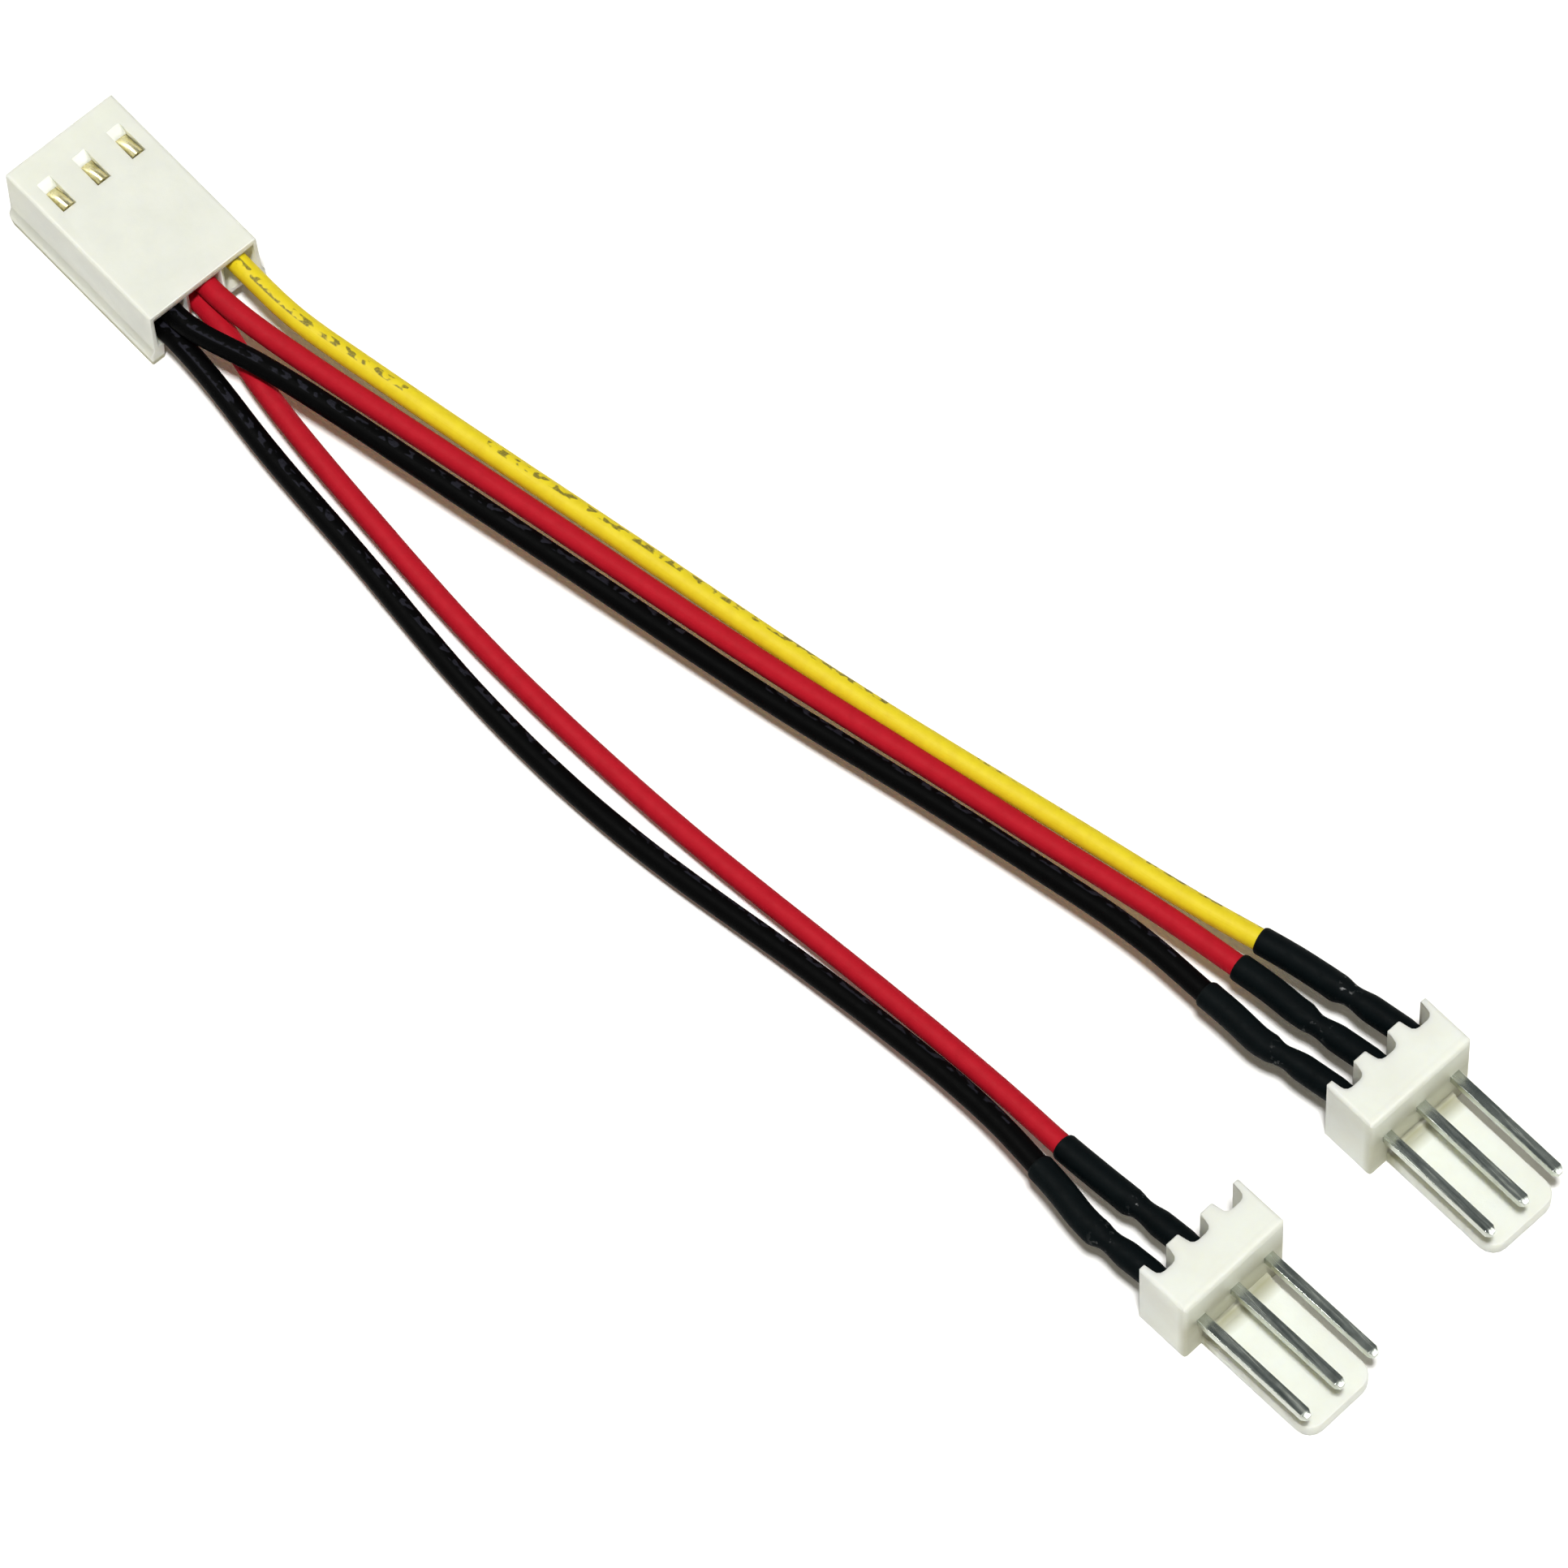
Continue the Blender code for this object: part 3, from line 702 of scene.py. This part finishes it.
# A cubic spline through the points with given end directions, whose slopes
# solve one tridiagonal system
def clampedSpline(points, startDirection, endDirection):
    points = np.array(points)
    steps = np.linalg.norm(np.diff(points, axis=0), axis=1)
    knots = np.concatenate([[0.0], np.cumsum(steps)])
    count = len(points)
    matrix = np.eye(count)
    right = np.zeros_like(points)
    right[0] = startDirection
    right[-1] = endDirection
    for i in range(1, count - 1):
        before, after = steps[i - 1], steps[i]
        matrix[i, i - 1] = after
        matrix[i, i] = 2 * (before + after)
        matrix[i, i + 1] = before
        chords = (points[i] - points[i - 1]) * after / before
        chords += (points[i + 1] - points[i]) * before / after
        right[i] = 3 * chords
    slopes = np.linalg.solve(matrix, right)
    place = np.linspace(0.0, knots[-1], wireShape["splinePoints"])
    i = np.clip(np.searchsorted(knots, place, side="right") - 1, 0, count - 2)
    t = ((place - knots[i]) / steps[i])[:, None]
    bend = (1 + 2 * t) * (1 - t) ** 2 * points[i] + t * t * (3 - 2 * t) * points[i + 1]
    lean = t * (1 - t) ** 2 * slopes[i] - t * t * (1 - t) * slopes[i + 1]
    return bend + steps[i][:, None] * lean


def runOf(path):
    return np.concatenate([[0.0], np.cumsum(np.linalg.norm(np.diff(path, axis=0), axis=1))])


# The path at given distances from its start, and its direction there
def pathAt(path, places):
    run = runOf(path)
    step = wireShape["directionStep"]

    def points(at):
        return np.stack([np.interp(at, run, path[:, k]) for k in range(3)], axis=1)

    ahead = points(np.minimum(places + step, run[-1]))
    behind = points(np.maximum(places - step, 0.0))
    direction = ahead - behind
    return points(places), direction / np.linalg.norm(direction, axis=1)[:, None]


# From 0 at the start to 1 at the end of a rounding, by half a cosine
def eased(share):
    return 0.5 - 0.5 * np.cos(pi * share)


# Between two keys the radius follows half a cosine
def easedProfile(places, keys, values):
    i = np.clip(np.searchsorted(keys, places, side="right") - 1, 0, len(keys) - 2)
    t = np.clip((places - keys[i]) / (keys[i + 1] - keys[i]), 0.0, 1.0)
    return values[i] + (values[i + 1] - values[i]) * eased(t)


# A tube is a grid: rings of one radius each round the path, with a UV whose U
# is the distance along it and V the share of a turn. A closed one has its last
# ring joined to its first.
def makeTube(name, path, places, radii, sides, material, closed=False, shift=None):
    points, direction = pathAt(path, places)
    across = np.cross(direction, (0.0, 0.0, 1.0))
    across /= np.linalg.norm(across, axis=1)[:, None]
    above = np.cross(across, direction)
    turns = np.arange(sides) * 2 * pi / sides
    radius = radii[:, None] * np.ones(sides)
    if shift is not None:
        radius = radius * (1 + shift)
    spots = points[:, None] + radius[..., None] * (
        np.cos(turns)[None, :, None] * across[:, None]
        + np.sin(turns)[None, :, None] * above[:, None]
    )
    rows = len(places)
    last = rows if closed else rows - 1
    i, j = np.meshgrid(np.arange(last), np.arange(sides), indexing="ij")
    k = (i + 1) % rows
    n = (j + 1) % sides
    faces = np.stack([i * sides + j, i * sides + n, k * sides + n, k * sides + j], axis=-1)
    faces = faces.reshape(-1, 4)
    along = places - places[0]
    corners = np.stack(
        [
            np.stack([along[i], j / sides], axis=-1),
            np.stack([along[i], (j + 1) / sides], axis=-1),
            np.stack([along[k], (j + 1) / sides], axis=-1),
            np.stack([along[k], j / sides], axis=-1),
        ],
        axis=2,
    ).reshape(-1, 2)
    firstRing = list(range(sides))
    lastRing = [(rows - 1) * sides + side for side in firstRing]
    caps = [] if closed else [firstRing[::-1], lastRing]
    mesh = bpy.data.meshes.new(name)
    mesh.from_pydata(spots.reshape(-1, 3).tolist(), [], faces.tolist() + caps)
    layer = mesh.uv_layers.new(name="tube")
    values = np.zeros((len(mesh.loops), 2))
    values[: len(corners)] = corners
    layer.data.foreach_set("uv", values.ravel())
    mesh.materials.append(material)
    mesh.shade_smooth()
    mesh.set_sharp_from_angle(angle=radians(smoothAngles["tube"]))
    piece = addToScene(name, mesh)
    fixNormals(mesh)
    return piece


def fixNormals(mesh):
    shape = bmesh.new()
    shape.from_mesh(mesh)
    bmesh.ops.recalc_face_normals(shape, faces=shape.faces)
    shape.to_mesh(mesh)
    shape.free()


# A node's name in camel case, with a word more
def pieceName(node, *more):
    first, *rest = node.split("_") + list(more)
    return first + "".join(word.capitalize() for word in rest)


def standIn(piece, node):
    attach(piece, "root")
    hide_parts(node)


# A branch's path: its start in the crimp, the housing's face, the curve to the
# solder, and the pin's tail from there to the groove
def branchPath(name):
    branch = branches[name]
    side = branch["side"]
    turn = radians(layout[side + "HeaderTurn"])
    lean = turn + radians(layout[side + "TailLean"])
    inward = np.array([cos(turn), sin(turn), 0.0])
    forward = np.array([cos(lean), sin(lean), 0.0])
    across = np.array([-inward[1], inward[0], 0.0])
    base = wireFace + np.array([*layout[side + "HeaderAt"], layout["pinHeight"]])
    groove = base + across * branch["row"] * layout["pitch"]
    lateral = branch["row"] * layout["pitch"] + branch["spread"] * layout["pairSpread"]
    start = wireFace + np.array([0.0, lateral, layout[branch["height"]]])
    bend = groove - inward * layout["tailStraight"]
    tail = layout["tailReach"] - layout["tailStraight"] + layout["slip"]
    joint = bend - forward * (tail + layout["solderOverStrand"])
    middle = [wireFace + np.array(point) for point in routes[name]]
    curve = clampedSpline([start, *middle, joint], np.array([1.0, 0.0, 0.0]), forward)
    inside = start - np.array([layout["wireInset"], 0.0, 0.0])
    mouth = groove - inward * layout["sleeveShortOfHeader"]
    ending = np.concatenate([np.linspace(joint, bend, sleeveShape["endPoints"]), [mouth]])
    return inside, start, curve, ending


def makeBranch(name):
    inside, start, curve, ending = branchPath(name)
    branch = branches[name]
    shape = wireShape
    slotName = branch["colour"] + "_insulation"
    lead = np.linspace(inside, start, shape["leadRings"])[:-1]
    whole = np.concatenate([lead, curve])
    run = runOf(whole)
    wireEnd = run[-1] - layout[branch["side"] + "StripLength"]
    places = np.linspace(0.0, wireEnd, shape["rings"])
    waves = np.sin(places * shape["ripplePitch"] + len(name))
    ripple = 1 + shape["ripple"] * waves * np.sin(places * shape["rippleBeat"])
    radii = layout["wireDiameter"] / 2 * ripple
    wireName = pieceName(name, "wire")
    wire = makeTube(wireName, whole, places, radii, shape["sides"], finishes[slotName])
    standIn(wire, name + "_wire")
    sleeve = makeSleeve(name, np.concatenate([whole, ending[1:]]), wireEnd)
    path, _ = pathAt(whole, places)


# A sleeve hugs the wire, dips at the end of its insulation, swells over the
# solder and ends in the groove
def makeSleeve(name, path, wireEnd):
    shape = sleeveShape
    wall = shape["wall"]
    end = runOf(path)[-1]
    first = wireEnd - branches[name]["sleeveOverWire"]
    grip = layout["wireDiameter"] / 2 + shape["slack"]
    neck, swell, mouth = (shape[key] - wall for key in ("neck", "swell", "mouth"))
    profile = [
        (first, grip),
        (wireEnd + shape["gripUntil"], grip),
        (wireEnd + shape["neckAt"], neck),
        (wireEnd + shape["swellAt"], swell),
        (end - shape["swellUntil"], swell),
        (end - shape["mouthFrom"], mouth),
        (end, mouth),
    ]
    keys, radii = np.array(profile).T
    places = np.linspace(first, end, shape["rings"])
    bore = easedProfile(places, keys, radii)
    thin = shape["thinnest"]
    outer = np.full(len(places), np.inf)
    for distance, rounding in (
        (places - first, shape["startRounding"]),
        (end - places, shape["endRounding"]),
    ):
        lip = eased(np.clip(distance, 0, rounding) / rounding)
        outer = np.minimum(outer, bore + wall * (thin + (1 - thin) * lip))
    sides = shape["sides"]
    seed = sum(ord(letter) for letter in name)
    turns = np.arange(sides) * 2 * pi / sides
    run = places[:, None]
    fromEnd = run - wireEnd
    near = np.exp(-(((fromEnd - shape["dentAt"]) / shape["dentReach"]) ** 2))
    dents = shape["dent"] * near * np.cos(shape["dents"] * turns + seed)
    dents = dents * np.cos(fromEnd * shape["dentPitch"])
    folds = shape["fold"] * np.cos(shape["folds"] * turns + run * shape["foldPitch"] + seed)
    outerShift = dents + folds * (near * shape["foldNear"] + shape["foldAway"])
    sleeve = makeTube(
        pieceName(name, "sleeve"),
        path,
        np.concatenate([places, places[::-1]]),
        np.concatenate([outer, bore[::-1]]),
        sides,
        finishes["shrink_tube"],
        closed=True,
        shift=np.concatenate([outerShift, np.zeros((len(places), sides))]),
    )
    standIn(sleeve, name + "_sleeve")
    return sleeve


def cutAt(shape, axis, place):
    point = [0.0, 0.0, 0.0]
    point[axis] = place
    normal = [0.0, 0.0, 0.0]
    normal[axis] = 1.0
    everything = shape.verts[:] + shape.edges[:] + shape.faces[:]
    bmesh.ops.bisect_plane(
        shape, geom=everything, dist=samePoint, plane_co=point, plane_no=normal
    )


# An edge of a piece is rounded where two of its faces meet, each given by its
# axis, its place and the way it looks: thin strips are cut along the edge, and
# points outside the arc are moved onto it
def roundEdge(shape, first, second, radius):
    turns = np.linspace(0, pi / 2, roundingSteps + 1)
    for axis, place, way in (first, second):
        for depth in radius * (1 - np.cos(turns))[1:]:
            cutAt(shape, axis, place - way * depth)
    (axisA, placeA, wayA), (axisB, placeB, wayB) = first, second
    for vertex in shape.verts:
        a = radius - wayA * (placeA - vertex.co[axisA])
        b = radius - wayB * (placeB - vertex.co[axisB])
        reach = (a * a + b * b) ** 0.5
        if a > 0 and b > 0 and reach > radius:
            vertex.co[axisA] -= wayA * a * (1 - radius / reach)
            vertex.co[axisB] -= wayB * b * (1 - radius / reach)


# The tang's top is bent into one arc across its width: strips are cut along it
# and their points lifted by the gap between that arc and the flat middle
def crownTang(shape, y):
    half = tang["width"] / 2
    for share in tang["strips"]:
        cutAt(shape, 1, y + share * half)
    start = housingLow[0] + tang["from"]
    end = housingLow[0] + tang["to"]
    base = housingHigh[2] - tang["below"]
    for vertex in shape.verts:
        share = abs(vertex.co.y - y) / half
        onTang = start < vertex.co.x < end and share <= 1 + tang["tolerance"]
        if onTang and vertex.co.z > base:
            root = min(1.0, (vertex.co.x - start) / tang["rootLength"])
            now = tang["flat"] * min(1.0, 2 * (1 - share))
            vertex.co.z += root * (tang["crown"] * (1 - share * share) - now)


# A CAD node's shape with its flat faces rejoined. Soft edges are rounded in the
# piece's own frame, a terminal's tang is crowned and a pin's edges are bevelled.
def dressedCopy(node, slotName, place=None, softEdges=(), row=None, bevelled=None):
    shape = bmesh.new()
    shape.from_mesh(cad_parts[node].data)
    bmesh.ops.remove_doubles(shape, verts=shape.verts, dist=samePoint)
    bmesh.ops.dissolve_limit(
        shape, angle_limit=radians(flatAngle), verts=shape.verts, edges=shape.edges
    )
    if softEdges:
        shape.transform(place.inverted())
        for first, second, radius in softEdges:
            roundEdge(shape, first, second, radius)
        shape.transform(place)
    if row is not None:
        crownTang(shape, wireFace[1] + row * layout["pitch"])
    mesh = bpy.data.meshes.new(pieceName(node))
    shape.to_mesh(mesh)
    shape.free()
    mesh.materials.clear()
    mesh.materials.append(finishes.get(node) or finishes[slotName])
    mesh.shade_smooth()
    mesh.set_sharp_from_angle(angle=radians(smoothAngles["moulding"]))
    piece = addToScene(pieceName(node), mesh)
    if bevelled:
        bevel = piece.modifiers.new("edges", "BEVEL")
        bevel.width = bevelled["width"]
        bevel.segments = bevelled["segments"]
        bevel.limit_method = "ANGLE"
        bevel.angle_limit = radians(bevelled["angle"])
    weights = piece.modifiers.new("normals", "WEIGHTED_NORMAL")
    weights.keep_sharp = True
    standIn(piece, node)


# The edges between both sides of a moulding and another of its faces
def sideEdges(half, face, radius):
    return [((1, way * half, way), face, radius) for way in (1, -1)]


def dressMouldings():
    top = (2, housing["height"], 1)
    edges = sideEdges(housing["width"] / 2 - housing["step"], top, housing["radius"])
    place = Matrix.Translation(Vector(wireFace))
    dressedCopy("female_housing", "pale_nylon", place, edges)
    half = header["width"] / 2
    top = (2, header["height"], 1)
    front = (0, header["depth"], 1)
    edges = [(front, top, header["front"])]
    edges += sideEdges(half, top, header["side"]) + sideEdges(half, front, header["side"])
    for side in ("right", "left"):
        offset = Vector(wireFace) + Vector((*layout[side + "HeaderAt"], 0))
        turn = Matrix.Rotation(radians(layout[side + "HeaderTurn"]), 4, "Z")
        dressedCopy(side + "_header", "ivory_nylon", Matrix.Translation(offset) @ turn, edges)


def dressMetal():
    for row, colour in enumerate(("black", "red", "yellow")):
        dressedCopy(colour + "_terminal", "terminal_metal", row=row - 1)
        for side in ("right", "left"):
            dressedCopy(side + "_" + colour + "_pin", "pin_metal", bevelled=pinTip)
    for branch in branches:
        for ending, slotName in (
            ("_solder", "solder"),
            ("_soldered_strands", "strand_metal"),
            ("_crimped_strands", "strand_metal"),
        ):
            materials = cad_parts[branch + ending].data.materials
            materials.clear()
            materials.append(finishes[slotName])


# The backdrop. A ramp runs from the horizon up: warm for the light it gives, and
# for mirrored rays white below and dark above, so that metal facing up is dark.
backdrop = {
    "warm": [(0.0, (0.36, 0.32, 0.26)), (0.45, (0.26, 0.235, 0.19)), (0.8, (0.12, 0.115, 0.09))],
    "mirrored": [(0.0, (1.0, 1.0, 1.0)), (0.3, (0.85, 0.85, 0.8)), (0.6, (0.115, 0.13, 0.14))],
    "white": (1.0, 1.0, 1.0, 1.0),
    "floorHalf": 1.5,
    "floorLit": (0.9, 0.9, 0.9, 1.0),
    "floorSeen": (1.1, 1.1, 1.1, 1.0),
}

# Suns: where each stands, its strength, colour and width in degrees, and whether
# it only glints. The key makes the shadows, the others the gleam on the metal
# and on the ramps in the windows.
suns = {
    "key": ((0.2, -0.155, 1.0), 2.8, (1.0, 1.0, 0.99), 7.0, False),
    "glint": ((-0.35, -0.24, 0.9), 1.2, (1.0, 1.0, 0.97), 6.0, True),
    "tangGlint": ((-0.75, -0.22, 0.62), 2.2, (1.0, 1.0, 0.95), 10.0, True),
    "rampGlint": ((0.815, 0.273, 0.507), 5.0, (1.0, 1.0, 1.0), 14.0, True),
}


# One where a ray comes from the camera or, if asked, from glossy or clear pieces
def viewRays(tree, reflected):
    rays = addNode(tree, "ShaderNodeLightPath").outputs
    total = rays["Is Camera Ray"]
    for kind in ("Is Glossy Ray", "Is Transmission Ray") if reflected else ():
        total = maths(tree, "MAXIMUM", total, rays[kind])
    return total


# The surface below: white to the camera where it is lit, and it keeps shadows
def makeFloor():
    material, tree, shader = newMaterial("floorPaper")
    lit, seen = backdrop["floorLit"], backdrop["floorSeen"]
    tone = mixed(tree, viewRays(tree, True), lit, seen)
    feedAll(tree, shader, {"Base Color": tone, "Roughness": 1.0, "Specular IOR Level": 0.0})
    mesh = bpy.data.meshes.new("floor")
    half = backdrop["floorHalf"]
    corners = [(-half, -half, 0), (half, -half, 0), (half, half, 0), (-half, half, 0)]
    mesh.from_pydata(corners, [], [(0, 1, 2, 3)])
    mesh.materials.append(material)
    addToScene("floor", mesh)


# The sky round it: white to the camera
def makeSky():
    world = bpy.data.worlds.new("sky")
    bpy.context.scene.world = world
    world.use_nodes = True
    tree = world.node_tree
    direction = addNode(tree, "ShaderNodeTexCoord").outputs["Generated"]
    height = axesOf(tree, direction)["Z"]
    warm = ramp(tree, height, backdrop["warm"])
    mirrored = ramp(tree, height, backdrop["mirrored"])
    seen = mixed(tree, viewRays(tree, False), mirrored, backdrop["white"])
    colour = mixed(tree, viewRays(tree, True), warm, seen)
    feedAll(tree, tree.nodes["Background"], {"Color": colour, "Strength": 1.0})


def makeSun(name, direction, strength, colour, angle, glossOnly):
    data = bpy.data.lights.new(name, "SUN")
    data.energy = strength
    data.color = colour
    data.angle = radians(angle)
    lamp = addToScene(name, data)
    lamp.rotation_euler = Vector(direction).to_track_quat("Z", "Y").to_euler()
    lamp.visible_diffuse = not glossOnly


makeCamera()
print("stage: camera and materials made")
for name in branches:
    makeBranch(name)
print("stage: wires and sleeves made")
dressMouldings()
dressMetal()
print("stage: housings, terminals and pins dressed")
makeFloor()
makeSky()
for name, sun in suns.items():
    makeSun(name, *sun)
bpy.context.scene.view_settings.view_transform = "Standard"

print("stage: done")
